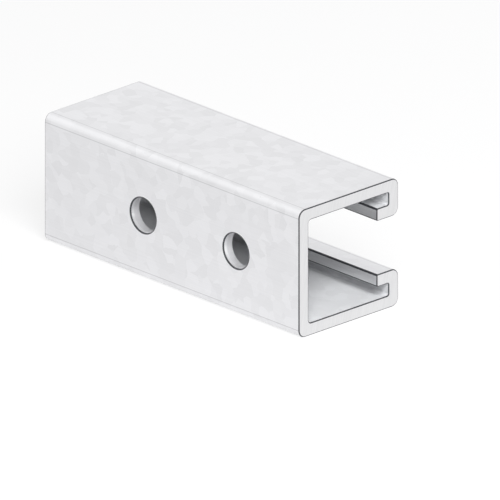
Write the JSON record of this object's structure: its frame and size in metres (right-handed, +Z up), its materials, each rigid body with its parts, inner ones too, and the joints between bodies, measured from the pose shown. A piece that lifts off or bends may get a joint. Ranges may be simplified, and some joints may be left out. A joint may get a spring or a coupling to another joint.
{
  "type": "strut channel",
  "caption": "Roll-formed steel strut channel: a square section with a continuous slot between two in-turned lips, and round bolt holes in a row along its web.",
  "frame": {"origin": "middle of the footprint, on the floor, under the middle of the channel's length", "axes": "+X along the channel to its near cut end, +Y out of the slot, -Y out of the punched web, +Z up"},
  "size_m": [0.111, 0.0412, 0.0413],
  "materials": {
    "galvanised_steel": "pre-galvanised strip, pale grey, with plain cut ends"
  },
  "bodies": {
    "root": {"strut_channel": "galvanised_steel"}
  },
  "joints": []
}
